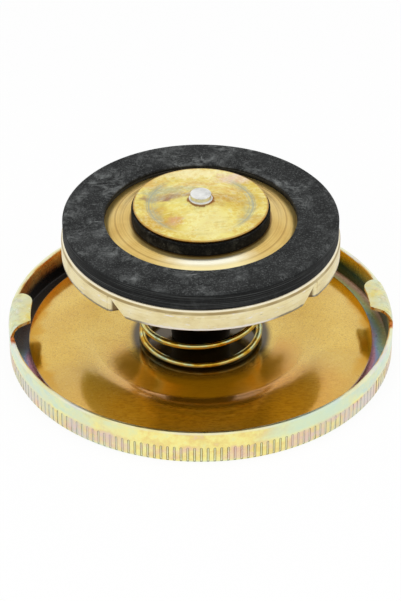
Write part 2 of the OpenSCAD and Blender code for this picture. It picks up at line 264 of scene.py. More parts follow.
def cut_out(piece, cutters):
    """Takes the cutters out of a piece."""
    for cutter in cutters:
        hole = piece.modifiers.new("cut", "BOOLEAN")
        hole.operation = "DIFFERENCE"
        hole.solver = "EXACT"
        hole.object = cutter
    bpy.context.view_layer.update()
    cut = piece.evaluated_get(bpy.context.evaluated_depsgraph_get())
    made = bpy.data.meshes.new_from_object(cut)
    piece.modifiers.clear()
    piece.data = made
    for cutter in cutters:
        bpy.data.objects.remove(cutter)
    for face in made.polygons:
        face.use_smooth = True
    made.set_sharp_from_angle(angle=math.radians(45))
    return piece


def eased(turns):
    """Rise of a coil, in turns of its pitch: none for a while at its end, then even."""
    past = turns - FLAT_TURNS
    if abs(past) > EASE_TURNS:
        return max(0, past)
    return (past + EASE_TURNS) ** 2 / (4 * EASE_TURNS)


def coil(name, low_z, length, mean_r, wire, turns, start, steps, sides):
    """A coil spring with flat end turns and lightly rounded cut ends."""
    rings = round(turns * steps)
    span = turns - 2 * FLAT_TURNS
    points, faces = [], []
    for i in range(rings + 1):
        u = turns * i / rings
        a = math.radians(start) + TURN * u
        rise = eased(u) if u < turns / 2 else span - eased(turns - u)
        z = low_z + wire / 2 + (length - wire) * rise / span
        half = wire / 2 * (CUT_SHRINK if i in (0, rings) else 1)
        for k in range(sides):
            b = TURN * k / sides
            r = mean_r + half * math.cos(b)
            points.append((r * math.cos(a), r * math.sin(a), z + half * math.sin(b)))
    for i in range(rings):
        for k in range(sides):
            n = (k + 1) % sides
            low, high = i * sides, (i + 1) * sides
            faces.append((low + k, high + k, high + n, low + n))
    faces.append(tuple(range(sides)))
    faces.append(tuple(rings * sides + k for k in reversed(range(sides))))
    return new_piece(name, points, faces, 50)


def add_edge_rounding(piece, width):
    bevel = piece.modifiers.new("edges", "BEVEL")
    bevel.width = width * MM
    bevel.segments = 2
    bevel.limit_method = "ANGLE"
    bevel.angle_limit = math.radians(40)
    bevel.harden_normals = True


# Shell

def shell_rings():
    """Rings of the shell's section: (r, z, share of the flutes' depth, height in a flute's round end).

    Rings at plain numbers only split long faces.
    """
    slope = math.atan2(RECESS_DEPTH, RECESS_SLOPE)
    inset = SHELL_T * math.tan(slope / 2)
    foot = RECESS_R + RECESS_SLOPE
    edge_r = SHELL_R - CORNER_R
    end_z = FLUTE_TOP - FLUTE_END
    under_rim = RIM_H - 0.6
    face = rounded([
        (HOLE_R, RECESS_DEPTH), (RECESS_R, RECESS_DEPTH, HOLLOW_BEND), (foot, 0, CREST_BEND),
        (edge_r - 2, 0)])
    rings = [(r, z, 0, 0) for r, z in face]
    for k, (r, z) in enumerate(arc((edge_r, CORNER_R), CORNER_R, -90, 0, 6)):
        rings.append((r, z, max(0, min(1, (k - 2) / 3)), 0))
    rings.append((SHELL_R, (CORNER_R + end_z) / 2, 1, 0))
    for t in (0, 0.4, 0.65, 0.85, 1.0):
        rings.append((SHELL_R, end_z + FLUTE_END * t, 1, t))
    upper = [(SHELL_R, 5.2), (SHELL_R, under_rim)]
    upper += arc((SHELL_R - RIM_BREAK, RIM_H - RIM_BREAK), RIM_BREAK, 0, 90, 4)
    upper += arc((SHELL_IN + RIM_BREAK, RIM_H - RIM_BREAK), RIM_BREAK, 90, 180, 4)
    upper += [(SHELL_IN, under_rim), (SHELL_IN, 4.2), (SHELL_IN, 2)]
    upper += arc((SHELL_IN - CORNER_IN, SHELL_T + CORNER_IN), CORNER_IN, 0, -90, 4)
    upper += rounded([
        (36.5, SHELL_T), (foot + inset, SHELL_T, HOLLOW_BEND), (RECESS_R + inset, BOSS_Z, CREST_BEND),
        (HOLE_R, BOSS_Z)])
    rings.extend((r, z, 0, 0) for r, z in upper)
    return rings


def relief_dip(angle, z):
    """Depth of the round reliefs beside the lugs, which dip into the rim's upper edge."""
    above = z - RIM_H + RELIEF_DROP
    if above < 0:
        return 0
    front = -math.asin((LUG_FRONT + RELIEF_OFF) / SHELL_R)
    back = math.asin((LUG_BACK + RELIEF_OFF) / SHELL_R)
    depth = 0
    for centre in (front, back, math.pi - front, math.pi - back):
        along = ((angle - centre + math.pi) % TURN - math.pi) * SHELL_R
        if abs(along) < RELIEF_R:
            depth = math.sqrt(RELIEF_R ** 2 - along ** 2)
    return depth * min(1, above / RELIEF_FADE)


def shell_piece():
    rings = shell_rings()
    pitch = TURN / FLUTES
    half = FLUTE_HALF / SHELL_R
    columns = []
    for i in range(FLUTES):
        for off in (-1, -0.5, 0, 0.5, 1):
            columns.append((i * pitch + off * half, off))
        columns.append(((i + 0.5) * pitch, 2))
    points, faces, flute = [], [], []
    for r, z, share, end in rings:
        for angle, off in columns:
            groove = share * max(0, 1 - off ** 2 - end ** 2)
            flat_r = r - FLUTE_DEPTH * groove
            points.append((flat_r * math.cos(angle), flat_r * math.sin(angle), z - relief_dip(angle, z)))
            flute.append(groove)
    count, around = len(rings), len(columns)
    for i in range(count):
        low, high = i * around, (i + 1) % count * around
        for k in range(around):
            n = (k + 1) % around
            faces.append((low + k, low + n, high + n, high + k))
    piece = new_piece("shell_sheet", points, faces, 38)
    mark = piece.data.attributes.new("flute", "FLOAT", "POINT")
    mark.data.foreach_set("value", flute)
    return piece


def lug_path(offset):
    """A lug's path in (r, z) from the rim to its tip, moved inward through the sheet by the offset."""
    bend = (SHELL_R - LUG_INSET - LUG_BEND_R, RIM_H - RIM_BREAK)
    radius = LUG_BEND_R + LUG_INSET - offset
    path = [(SHELL_R - offset, RIM_H - LUG_ROOT)]
    path += arc(bend, radius, 0, 90 + LUG_DROOP, 28)
    bend_r, bend_z = path[-1]
    droop = math.radians(LUG_DROOP)
    past_tip, steps = LUG_REACH - LUG_BEND_R + 0.5, 12
    for k in range(1, steps + 1):
        s = past_tip * k / steps
        path.append((bend_r - s * math.cos(droop), bend_z - s * math.sin(droop)))
    return path


def cut_path(path, end_r, count):
    """Even points along a path as far as a radius."""
    lengths = [0]
    for a, b in zip(path, path[1:]):
        lengths.append(lengths[-1] + math.dist(a, b))
    stop = lengths[-1]
    for i, (a, b) in enumerate(zip(path, path[1:])):
        if b[0] < end_r <= a[0]:
            stop = lengths[i] + (lengths[i + 1] - lengths[i]) * (a[0] - end_r) / (a[0] - b[0])
            break
    even = []
    for k in range(count):
        want = stop * k / (count - 1)
        i = max(j for j in range(len(lengths) - 1) if lengths[j] <= want + TINY)
        t = (want - lengths[i]) / (lengths[i + 1] - lengths[i])
        even.append(tuple(p + (q - p) * t for p, q in zip(path[i], path[i + 1])))
    return even


def lug_piece(name, side):
    """A lug between two sheets of points, straight at its tip and rounded at its back corner."""
    along, tip_steps, corner_steps = 24, 20, 12
    tip_r = SHELL_R - LUG_REACH
    corner_y = LUG_BACK - LUG_CORNER_R
    corner_x = math.sqrt((tip_r + LUG_CORNER_R) ** 2 - corner_y ** 2)
    tangent_y = corner_y * tip_r / (tip_r + LUG_CORNER_R)
    rows = [-LUG_FRONT + (LUG_FRONT + tangent_y) * k / tip_steps for k in range(tip_steps + 1)]
    for k in range(1, corner_steps + 1):
        rows.append(tangent_y + (LUG_BACK - tangent_y) * math.sin(math.pi / 2 * k / corner_steps))
    outer, inner = lug_path(LUG_INSET), lug_path(SHELL_T - LUG_INSET)
    points, faces = [], []
    for path in (outer, inner):
        for y in rows:
            tip_x = math.sqrt(tip_r ** 2 - y ** 2)
            if y > tangent_y:
                tip_x = corner_x - math.sqrt(max(0, LUG_CORNER_R ** 2 - (y - corner_y) ** 2))
            slant = LUG_SLANT * max(0, tangent_y - y) / (tangent_y + LUG_FRONT)
            for r, z in cut_path(path, math.hypot(tip_x, y), along):
                moved = y + slant * (SHELL_R - r) / LUG_REACH
                points.append((side * math.sqrt(r ** 2 - moved ** 2), moved, z))
    last = len(rows) - 1
    sheet = len(rows) * along
    for j in range(last):
        for k in range(along - 1):
            a, b = j * along + k, (j + 1) * along + k
            faces.append((a, b, b + 1, a + 1))
            faces.append((sheet + a, sheet + a + 1, sheet + b + 1, sheet + b))
    cut_faces = len(faces)
    for j in range(last):
        for k in (0, along - 1):
            a, b = j * along + k, (j + 1) * along + k
            faces.append((a, sheet + a, sheet + b, b))
    for k in range(along - 1):
        for j in (0, last):
            a = j * along + k
            faces.append((a, a + 1, sheet + a + 1, sheet + a))
    piece = new_piece(name, points, faces, 40)
    for face in list(piece.data.polygons)[cut_faces:]:
        face.material_index = 1
    add_edge_rounding(piece, LUG_EDGE)
    return piece


# Diaphragm, tubes and rivet

def sheet_outline(underside, thickness):
    """Closed outline of a sheet of even height whose underside runs outward."""
    return underside + [(r, z + thickness) for r, z in reversed(underside)]


def diaphragm_piece():
    """A disc that is flat as far as the crease, rises in a curve and falls away to its edge."""
    rise_steps, fall_steps = 24, 20
    crest_r, crest_z = CREASE_R + RISE_W, BOSS_Z + RISE_H
    underside = [(HOLE_R, BOSS_Z), (12, BOSS_Z), (18, BOSS_Z)]
    for k in range(rise_steps + 1):
        t = k / rise_steps
        underside.append((CREASE_R + RISE_W * t, BOSS_Z + RISE_H * (1 - (1 - t) ** 2)))
    for k in range(1, fall_steps + 1):
        t = k / fall_steps
        underside.append((crest_r + (DISC_R - crest_r) * t, crest_z - EDGE_DROP * t ** 2))
    return lathe("diaphragm_disc", sheet_outline(underside, DISC_T), 320, 30)


def guide_tube_piece():
    bend, t, top = TUBE_BEND, TUBE_T, TUBE_TOP
    low, flare = (TUBE_R - bend, DISC_Z + bend), (TUBE_R + bend - t, top - bend)
    outline = [(HOLE_R, DISC_Z)] + arc(low, bend, -90, 0) + arc(flare, bend - t, 180, 90)
    # A corner that only gives the direction at the end of the mouth's edge
    beyond = (7, top + 1)
    outline += rounded([(MOUTH_R, top - t, 0.12), (MOUTH_R, top, 0.12), beyond])[:-1]
    outline += arc(flare, bend, 90, 180) + arc(low, bend - t, 0, -90) + [(HOLE_R, DISC_Z + t)]
    return lathe("guide_tube_drawn", outline, 160, 40)


def valve_sleeve_piece():
    bend, t = SLEEVE_BEND, SLEEVE_T
    low, high = (SLEEVE_R - bend, SLEEVE_Z + bend), (SLEEVE_R + bend - t, PLATEAU_Z - bend)
    outline = [(SLEEVE_LIP_R, SLEEVE_Z)] + arc(low, bend, -90, 0) + arc(high, bend - t, 180, 90)
    outline += [(SLEEVE_FLANGE_R, PLATEAU_Z - t), (SLEEVE_FLANGE_R, PLATEAU_Z)]
    outline += arc(high, bend, 90, 180) + arc(low, bend - t, 0, -90) + [(SLEEVE_LIP_R, SLEEVE_Z + t)]
    return lathe("valve_sleeve_drawn", outline, 160, 40)


def centre_rivet_piece():
    low_head, high_head = RECESS_DEPTH, DISC_Z + TUBE_T
    low, high = low_head - RIVET_HEAD_H, high_head + RIVET_HEAD_H
    return lathe("centre_rivet_turned", rounded([
        (0, low), (RIVET_TOP_R, low, 0.6), (RIVET_HEAD_R, low_head - RIVET_SIDE_H, 0.35),
        (RIVET_HEAD_R, low_head), (RIVET_R, low_head), (RIVET_R, high_head), (RIVET_HEAD_R, high_head),
        (RIVET_HEAD_R, high_head + RIVET_SIDE_H, 0.35), (RIVET_TOP_R, high, 0.6), (0, high)]), 128, 40)


# Valves

def about_axis(angle):
    return Matrix.Rotation(angle, 3, "Z")


NOTCH_PLACES = [
    about_axis(NOTCH_TURN + half_turn) @ Matrix.Diagonal((1, side, 1)) @ about_axis(-SIDE_SWEEP / 2)
    for half_turn in (0, math.pi) for side in (1, -1)]


def notch_cutter(place):
    """Wedge that is upright at the fold on the X axis and slanted at its other side."""
    past = 1
    low = SKIRT_Z - past
    slant = NOTCH_SLANT / (NOTCH_TOP - SKIRT_Z)
    slant_y = -NOTCH_W - slant * (NOTCH_TOP - low)
    wedge = [(0, low), (0, NOTCH_TOP), (-NOTCH_W, NOTCH_TOP), (slant_y, low)]
    sides = (CUP_R - CUP_T - past, CUP_R + past)
    ends = [[place @ Vector((x, y, z)) for y, z in wedge] for x in sides]
    return prism("notch", ends[0], ends[1])


def cup_piece():
    shoulder = (CUP_R - CUP_CORNER, CUP_TOP - CUP_CORNER)
    hole_r, inner_r = SLEEVE_R + 0.05, CUP_R - CUP_T
    # Corners that only give the skirt's directions
    above = [(CUP_R, GASKET_TOP), (inner_r, GASKET_TOP)]
    outline = [(hole_r, CUP_SEAT), (CUP_MID_R, CUP_SEAT)] + arc(shoulder, CUP_CORNER - CUP_T, 90, 0, 8)
    outline += rounded([(inner_r, SKIRT_Z, 0.15), (CUP_R, SKIRT_Z, 0.15)] + above)[:-2]
    outline += arc(shoulder, CUP_CORNER, 0, 90, 12) + [(CUP_MID_R, CUP_TOP), (hole_r, CUP_TOP)]
    cup = lathe("valve_cup_pressing", outline, 240, 40)
    return cut_out(cup, [notch_cutter(place) for place in NOTCH_PLACES])


def fold_piece(name, place):
    """One folded end of the skirt: its root in the skirt, the fold and a flap."""
    inset, slit, root = 0.06, 0.2, 0.5
    centre = (CUP_R - FOLD_R, 0)
    outer_r, inner_r = FOLD_R - inset, FOLD_R - CUP_T + inset
    turn = math.radians(FOLD_TURN)
    slide = Vector((-math.sin(turn), -math.cos(turn))) * FLAP_LEN
    outer = [Vector(p) for p in arc(centre, outer_r, 0, -FOLD_TURN, 16)]
    inner = [Vector(p) for p in arc(centre, inner_r, -FOLD_TURN, 0, 16)]
    plan = [Vector((centre[0] + outer_r, root))] + outer + [outer[-1] + slide, inner[0] + slide]
    plan += inner + [Vector((centre[0] + inner_r, root))]
    heights = (SKIRT_Z + inset, NOTCH_TOP - slit)
    ends = [[place @ Vector((p.x, p.y, z)) for p in plan] for z in heights]
    piece = prism(name, ends[0], ends[1])
    add_edge_rounding(piece, FOLD_EDGE)
    return piece


def gasket_piece():
    groove_r, groove_top = RETAINER_R + 0.1, RETAINER_Z + RETAINER_T
    return lathe("gasket_ring", rounded([
        (GASKET_HOLE, CUP_TOP), (GASKET_R, CUP_TOP, 0.15), (GASKET_R, GASKET_TOP - GASKET_BREAK, 0.12),
        (GASKET_R - GASKET_BREAK, GASKET_TOP, 0.12), (GASKET_HOLE, GASKET_TOP, 0.3),
        (GASKET_HOLE, groove_top, 0.1), (groove_r, groove_top), (groove_r, RETAINER_Z),
        (GASKET_HOLE, RETAINER_Z)]), 320, 50)


def retainer_piece():
    steps = 16
    underside = [(RETAINER_HOLE, PLATEAU_Z)]
    for k in range(steps + 1):
        t = k / steps
        underside.append((PLATEAU_R + PLATEAU_SLOPE * t, PLATEAU_Z - PLATEAU_H * t ** 2))
    underside.append((RETAINER_R, RETAINER_Z))
    plate = lathe("retainer_plate", sheet_outline(underside, RETAINER_T), 256, 45)
    cutters = []
    for k in range(AIR_HOLES):
        a = TURN * k / AIR_HOLES
        place = Vector((AIR_HOLE_OUT * math.cos(a), AIR_HOLE_OUT * math.sin(a), PLATEAU_Z + RETAINER_T / 2))
        bpy.ops.mesh.primitive_cylinder_add(
            vertices=48, radius=AIR_HOLE_R * MM, depth=5 * RETAINER_T * MM, location=place * MM)
        cutters.append(bpy.context.object)
    return cut_out(plate, cutters)


def vacuum_disc_piece():
    """A dished disc: a cone up to the stem, a smooth bend at the edge of the dish and a flat rim."""
    dish = VACUUM_Z - DISH_DEPTH
    cone_top, rim_top = dish + CONE_H, VACUUM_Z + VACUUM_T
    steps, before, after, level = 16, 0.8, 1.3, 0.6
    fall = CONE_H / (DISH_R - CONE_R)
    end = DISH_R + after
    knots = [
        (DISH_R - before, dish + before * fall), (DISH_R, dish), (end - level, VACUUM_Z), (end, VACUUM_Z)]
    bend = []
    for k in range(steps + 1):
        u = k / steps
        weights = ((1 - u) ** 3, 3 * u * (1 - u) ** 2, 3 * u ** 2 * (1 - u), u ** 3)
        bend.append(tuple(sum(w * p[i] for w, p in zip(weights, knots)) for i in (0, 1)))
    cone = rounded([(STEM_HOLE, cone_top), (CONE_R, cone_top, 1.2), bend[0]], 8)[:-1]
    rim = rounded([
        bend[-1], (VACUUM_R, VACUUM_Z, 0.12), (VACUUM_R, rim_top, 0.2), (end, rim_top)])[1:-1]
    upper = [(r, z + VACUUM_T) for r, z in reversed(cone + bend)]
    return lathe("vacuum_disc_pressing", cone + bend + rim + upper, 256, 40)


def vacuum_seal_piece():
    dish = VACUUM_Z - DISH_DEPTH
    pocket = SEAL_Z + POCKET_H
    return lathe("vacuum_seal_ring", rounded([
        (STEM_HOLE, pocket), (POCKET_R, pocket, 0.2), (POCKET_R, SEAL_Z, 0.15), (SEAL_R, SEAL_Z, 0.2),
        (SEAL_R, VACUUM_Z, 0.25), (DISH_R + 2 * DISH_DEPTH, VACUUM_Z), (DISH_R, dish),
        (CONE_R, dish + CONE_H), (STEM_HOLE, dish + CONE_H)]), 256, 50)


def vacuum_stem_piece():
    collar, end = VACUUM_Z - DISH_DEPTH + CONE_H + VACUUM_T, WASHER_Z - STEM_FOOT_H
    head, top = collar + COLLAR_H, collar + STEM_HEAD_H
    return lathe("vacuum_stem_turned", rounded([
        (0, end), (STEM_FOOT_R, end, 0.25), (STEM_FOOT_R, WASHER_Z), (STEM_R, WASHER_Z), (STEM_R, collar),
        (COLLAR_R, collar), (COLLAR_R, head, 0.1), (STEM_HEAD_R, head), (STEM_HEAD_R, top, 0.3),
        (0, top)]), 96, 50)


def spring_washer_piece():
    top = WASHER_Z + WASHER_T
    return lathe("spring_washer_plate", rounded([
        (STEM_HOLE, WASHER_Z), (WASHER_R, WASHER_Z, 0.12), (WASHER_R, top, 0.12), (STEM_HOLE, top)]), 96, 50)


# Materials

def shown(colour):
    """The linear values that a shader takes for a colour written as it shows, 0 to 255."""
    def linear(value):
        value /= 255
        return value / 12.92 if value <= 0.04045 else ((value + 0.055) / 1.055) ** 2.4
    return (*map(linear, colour), 1.0)


class Finish:
    """A Principled material whose nodes are put together in millimetres of the part's frame.

    Colours are (red, green, blue) as they show, or sockets. Masks are values from 0 to 1.
    """

    def __init__(self, name, **sockets):
        self.material = bpy.data.materials.new(name)
        self.material.use_nodes = True
        self.tree = self.material.node_tree
        self.shader = self.tree.nodes["Principled BSDF"]
        self.set(**sockets)
        place = self.add("ShaderNodeTexCoord").outputs["Object"]
        self.place = self.add(
            "ShaderNodeVectorMath", {0: place, "Scale": 1 / MM}, operation="SCALE").outputs["Vector"]
        self.x, self.y, self.z = self.add("ShaderNodeSeparateXYZ", {0: self.place}).outputs
        self.aside = self.math("ABSOLUTE", self.x)
        self.radius = self.length(self.x, self.y)
        self.azimuth = self.math("ARCTAN2", self.y, self.x)

    def add(self, kind, inputs=None, **settings):
        node = self.tree.nodes.new(kind)
        for key, value in settings.items():
            setattr(node, key, value)
        for key, value in (inputs or {}).items():
            self.feed(node.inputs[key], value)
        return node

    def feed(self, socket, value):
        if isinstance(value, bpy.types.NodeSocket):
            self.tree.links.new(value, socket)
        else:
            socket.default_value = value

    def math(self, operation, a, b=0.0):
        return self.add("ShaderNodeMath", {0: a, 1: b}, operation=operation).outputs[0]

    def chain(self, operation, first, *others):
        for other in others:
            first = self.math(operation, first, other)
        return first

    def times(self, *values):
        return self.chain("MULTIPLY", *values)

    def plus(self, *values):
        return self.chain("ADD", *values)

    def most(self, *values):
        return self.chain("MAXIMUM", *values)

    def scaled(self, value, by, plus=0.0):
        return self.add("ShaderNodeMath", {0: value, 1: by, 2: plus}, operation="MULTIPLY_ADD").outputs[0]

    def length(self, x, y):
        flat = self.add("ShaderNodeCombineXYZ", {0: x, 1: y}).outputs[0]
        return self.add("ShaderNodeVectorMath", {0: flat}, operation="LENGTH").outputs["Value"]

    def step(self, value, low, high):
        """0 below low and 1 above high, smooth between them, or the other way round."""
        return self.add("ShaderNodeMapRange", {
            "Value": value, "From Min": low, "From Max": high, "To Min": 0.0, "To Max": 1.0,
        }, interpolation_type="SMOOTHSTEP").outputs["Result"]

    def between(self, value, start, low, high, end):
        """1 from low to high, fading to 0 at the start below them and the end above."""
        return self.times(self.step(value, start, low), self.step(value, end, high))

    def texture(self, detail, rough, inputs, **settings):
        inputs = {"Scale": 1.0, "Detail": detail, "Roughness": rough, **inputs}
        return self.add("ShaderNodeTexNoise", inputs, **settings).outputs["Fac"]

    def noise(self, size, detail=2.0, rough=0.5, stretch=(1, 1, 1), shift=0.0, warp=0.0):
        """Noise whose blots are about size millimetres across, times the stretch."""
        scale = tuple(1 / (size * s) for s in stretch)
        spot = self.add("ShaderNodeVectorMath", {0: self.place, 1: scale, 2: (shift, shift, shift)},
                        operation="MULTIPLY_ADD").outputs["Vector"]
        return self.texture(detail, rough, {"Vector": spot, "Distortion": warp})

    def rings(self, size, detail):
        """Noise along the radius alone, as turning or pressing marks."""
        return self.texture(detail, 0.6, {"W": self.scaled(self.radius, 1 / size)}, noise_dimensions="1D")

    def round_noise(self, around, along, detail=2.0, rough=0.5, shift=0.0):
        """Noise laid round the axis: blots are around degrees wide and along millimetres high."""
        spot = self.add("ShaderNodeCombineXYZ", {
            0: self.scaled(self.azimuth, 180 / math.pi / around, shift),
            1: self.scaled(self.z, 1 / along), 2: self.scaled(self.radius, 1 / along)}).outputs[0]
        return self.texture(detail, rough, {"Vector": spot})

    def spot(self, x, y, half_x, half_y, ragged, size, shift):
        """1 inside an oval patch seen along the axis, fading to 0 over its ragged edge.

        The fade runs from 0.45 to 1.35 times the patch's half sizes.
        """
        across = self.scaled(self.x, 1 / half_x, -x / half_x)
        along = self.scaled(self.y, 1 / half_y, -y / half_y)
        wander = self.scaled(self.noise(size, 3, 0.55, shift=shift), 2 * ragged, -ragged)
        return self.step(self.plus(self.length(across, along), wander), 1.35, 0.45)

    def ramp(self, value, stops):
        """Colours along a value, each stop as (place, colour)."""
        node = self.add("ShaderNodeValToRGB", {0: value})
        marks = node.color_ramp.elements
        while len(marks) < len(stops):
            marks.new(0.5)
        for mark, (place, colour) in zip(marks, stops):
            mark.position = place
            mark.color = shown(colour)
        return node.outputs["Color"]

    def mix(self, share, *colours):
        """A blend of two colours. They are inputs 6 and 7 of the node, and output 2."""
        a, b = (c if isinstance(c, bpy.types.NodeSocket) else shown(c) for c in colours)
        return self.add("ShaderNodeMix", {0: share, 6: a, 7: b}, data_type="RGBA").outputs[2]

    def tint(self, mask, colour, share=1.0):
        """Lays a colour over the finish's colour so far."""
        self.colour = self.mix(self.scaled(mask, share), self.colour, colour)

    def bump(self, height, distance, strength=1.0, **under):
        inputs = {"Height": height, "Distance": distance * MM, "Strength": strength, **under}
        return self.add("ShaderNodeBump", inputs).outputs["Normal"]

    def set(self, **sockets):
        for socket, value in sockets.items():
            self.feed(self.shader.inputs[socket.replace("_", " ")], value)

    def done(self, roughness, normal, **sockets):
        self.set(Base_Color=self.colour, Roughness=roughness, Normal=normal, **sockets)
        return self.material


YELLOW = (250, 240, 154)
LIME = (232, 238, 184)
MINT = (204, 228, 208)
LAVENDER = (206, 200, 208)
PINK = (234, 204, 188)
AMBER = (242, 218, 136)


def zinc_shell():
    """Yellow zinc with rainbow tints on the shell's outside and the lugs, and painted shade and highlights
    in the flutes.
    """
    f = Finish("zinc_shell", Metallic=1.0)
    side = f.step(f.aside, 8.0, 34.0)
    upper = f.step(f.z, 3.4, 4.8)
    lug = f.step(f.z, 7.4, 8.4)
    film = f.plus(
        f.scaled(f.round_noise(9, 3.5, 3), 0.62, 0.06),
        f.times(side, f.scaled(upper, 0.42, -0.12)),
        f.scaled(f.noise(1.1, 4, 0.65), 0.32, -0.16),
        f.scaled(f.round_noise(4, 2.2, 4, 0.65, shift=13), 0.36, -0.18),
        f.times(lug, f.scaled(f.noise(2.2, 4, 0.65, shift=9), 1.1, -0.78)))
    f.colour = f.ramp(film, [
        (0.0, LAVENDER), (0.16, PINK), (0.3, AMBER), (0.42, YELLOW), (0.6, LIME), (0.76, MINT),
        (0.95, LAVENDER)])
    film = f.plus(f.noise(16, 3, 0.5, shift=2), f.scaled(f.noise(1.5, 3, 0.6, shift=5), 0.12, -0.06))
    face = f.ramp(film, [(0.3, AMBER), (0.45, YELLOW), (0.58, LIME), (0.7, MINT), (0.8, LAVENDER)])
    f.tint(f.step(f.z, 1.0, 0.5), face)
    f.tint(f.step(f.radius, 36.0, 34.5), face)
    flute = f.add("ShaderNodeAttribute", attribute_name="flute").outputs["Fac"]
    # Painted shade on the flute walls and a painted highlight along the flute floors
    f.tint(f.between(flute, 0.0, 0.3, 0.5, 0.95), (104, 92, 58), 0.85)
    f.tint(f.step(flute, 0.6, 0.95), (222, 232, 206), 0.7)
    pink = f.times(f.between(f.z, 0.6, 1.0, 3.6, 4.6), f.step(f.noise(4, 4, 0.65, shift=27), 0.45, 0.64))
    f.tint(pink, (232, 186, 194), 0.5)
    stain = f.step(f.noise(5, 4, 0.65, shift=7), 0.56, 0.74)
    f.tint(stain, (205, 180, 120), 0.3)
    f.tint(lug, (176, 164, 104), 0.22)
    mottle = f.times(lug, f.step(f.noise(1.3, 4, 0.65, shift=33), 0.46, 0.66))
    f.tint(mottle, (178, 170, 98), 0.65)
    glint = f.times(lug, f.step(f.noise(1.0, 3, 0.65, shift=61), 0.54, 0.7))
    f.tint(glint, (246, 248, 226), 0.7)
    blots = f.scaled(f.step(f.noise(1.6, 3, 0.6, shift=17), 0.35, 0.65), 0.55, 0.35)
    f.tint(f.times(lug, f.step(f.radius, 37.6, 35.0), blots), (228, 204, 96))
    pale = f.times(side, f.step(f.noise(4, 3, 0.6, shift=15), 0.3, 0.6))
    f.tint(pale, (206, 222, 214), 0.5)
    off_lug = f.step(lug, 0.5, 0.0)
    crest = f.times(f.step(f.z, 6.8, 7.05), off_lug)
    worn = f.ramp(f.round_noise(8, 3, 3, shift=21), [
        (0.3, (236, 222, 150)), (0.5, (242, 240, 206)), (0.65, (226, 222, 226)), (0.8, (240, 216, 170))])
    f.tint(crest, worn, 0.7)
    line = f.step(f.round_noise(7, 4, 3, shift=8), 0.36, 0.6)
    f.tint(f.times(f.step(f.radius, 38.62, 38.36), crest, line), (214, 164, 58), 0.85)
    for x in (-SHELL_IN, SHELL_IN):
        relief = f.spot(x, -LUG_FRONT - RELIEF_R, 1.6, 1.3, 0.2, 1, x)
        f.tint(f.times(relief, f.step(f.z, 6.3, 6.7), off_lug), (196, 100, 14), 0.9)
    mint = f.times(f.spot(19.0, -34.0, 10.0, 9.0, 0.5, 4, 6), upper)
    f.tint(mint, (206, 232, 214), 0.65)
    rough = f.scaled(f.noise(2, 4, 0.6, shift=3), 0.22, 0.2)
    grain = f.round_noise(0.5, 6, 2)
    return f.done(rough, f.bump(grain, 0.012, 0.4))


def zinc_inside():
    """Zinc on the shell's floor and the inside of its wall, with painted reflections and shade: near black
    at the back left, a dark wall and an orange band along its upper part.
    """
    f = Finish("zinc_inside")
    film = f.plus(
        f.scaled(f.radius, 0.2, -6.95), f.scaled(f.y, 0.011, 0.14),
        f.scaled(f.round_noise(9, 2.5, 4, 0.6), 0.6, -0.3))
    f.colour = f.ramp(film, [
        (0.0, (222, 166, 176)), (0.2, (212, 154, 180)), (0.36, (156, 180, 224)),
        (0.52, (158, 198, 184)), (0.7, (194, 196, 128)), (0.95, (206, 170, 140))])
    left = f.step(f.x, -12.0, -26.0)
    # Painted shade, near black, on the floor and wall at the back left
    shade = f.times(left, f.step(f.y, -5.0, 1.0))
    f.tint(shade, (26, 22, 18), 0.99)
    # The inside of the wall is painted dark as a painted reflection, olive at the right and brown at the
    # left
    wall = f.step(f.z, 1.0, 1.6)
    f.tint(wall, f.mix(left, (72, 76, 40), (62, 54, 50)))
    # Painted reflection in an orange and yellow band along the upper part of the wall, lower at the left
    upper = f.plus(f.z, f.scaled(f.round_noise(12, 5, 3, shift=4), 1.8, -0.9))
    warm = f.ramp(f.noise(5, 3, shift=6), [
        (0.32, (188, 112, 104)), (0.5, (236, 150, 62)), (0.7, (250, 196, 110))])
    band = f.step(f.plus(upper, f.scaled(left, 0.9)), 3.7, 5.9)
    f.tint(band, f.mix(left, (242, 196, 30), warm))
    lift = f.times(band, f.scaled(left, -0.2, -0.2))
    metal = f.plus(f.scaled(wall, 0.85, 0.15), lift)
    rough = f.scaled(f.noise(2, 3, 0.6, shift=5), 0.2, 0.18)
    return f.done(rough, f.bump(f.noise(0.4, 2), 0.01, 0.3), Metallic=metal)


